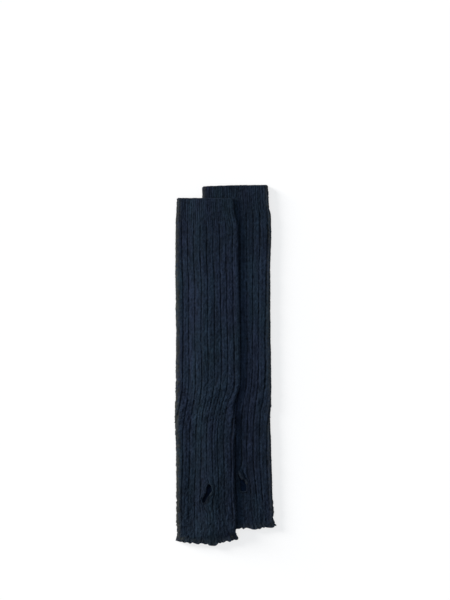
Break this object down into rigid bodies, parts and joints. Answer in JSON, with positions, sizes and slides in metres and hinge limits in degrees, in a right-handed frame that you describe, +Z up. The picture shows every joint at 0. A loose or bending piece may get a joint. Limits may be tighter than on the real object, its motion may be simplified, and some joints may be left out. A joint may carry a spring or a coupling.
{
  "type": "pair of arm warmers",
  "caption": "Ribbed knit arm warmers laid flat, one lying partly over the other, each an open tube with a thumb slit, fine-rib cuffs and a ruffled hand hem.",
  "frame": {"origin": "under the middle of the pair, on the surface that the pair lies on", "axes": "+Z up from that surface; +Y along the warmers from the ruffled hand hems to the upper-arm cuffs; +X across the pair, towards the warmer that lies underneath"},
  "size_m": [0.1347, 0.4876, 0.014],
  "materials": {
    "wide_rib_knit": "matt navy wool-like yarn knitted in wide rib",
    "fine_rib_knit": "the same navy yarn knitted in fine one-by-one rib",
    "edging_yarn": "the same navy yarn, overcast along a cut edge"
  },
  "bodies": {
    "root": {"left_upper_cuff": "fine_rib_knit", "left_sleeve": "wide_rib_knit", "left_hand_cuff": "fine_rib_knit", "left_ruffle": "fine_rib_knit", "left_thumb_edging": "edging_yarn", "right_upper_cuff": "fine_rib_knit", "right_sleeve": "wide_rib_knit", "right_hand_cuff": "fine_rib_knit", "right_ruffle": "fine_rib_knit", "right_thumb_edging": "edging_yarn"}
  },
  "joints": []
}
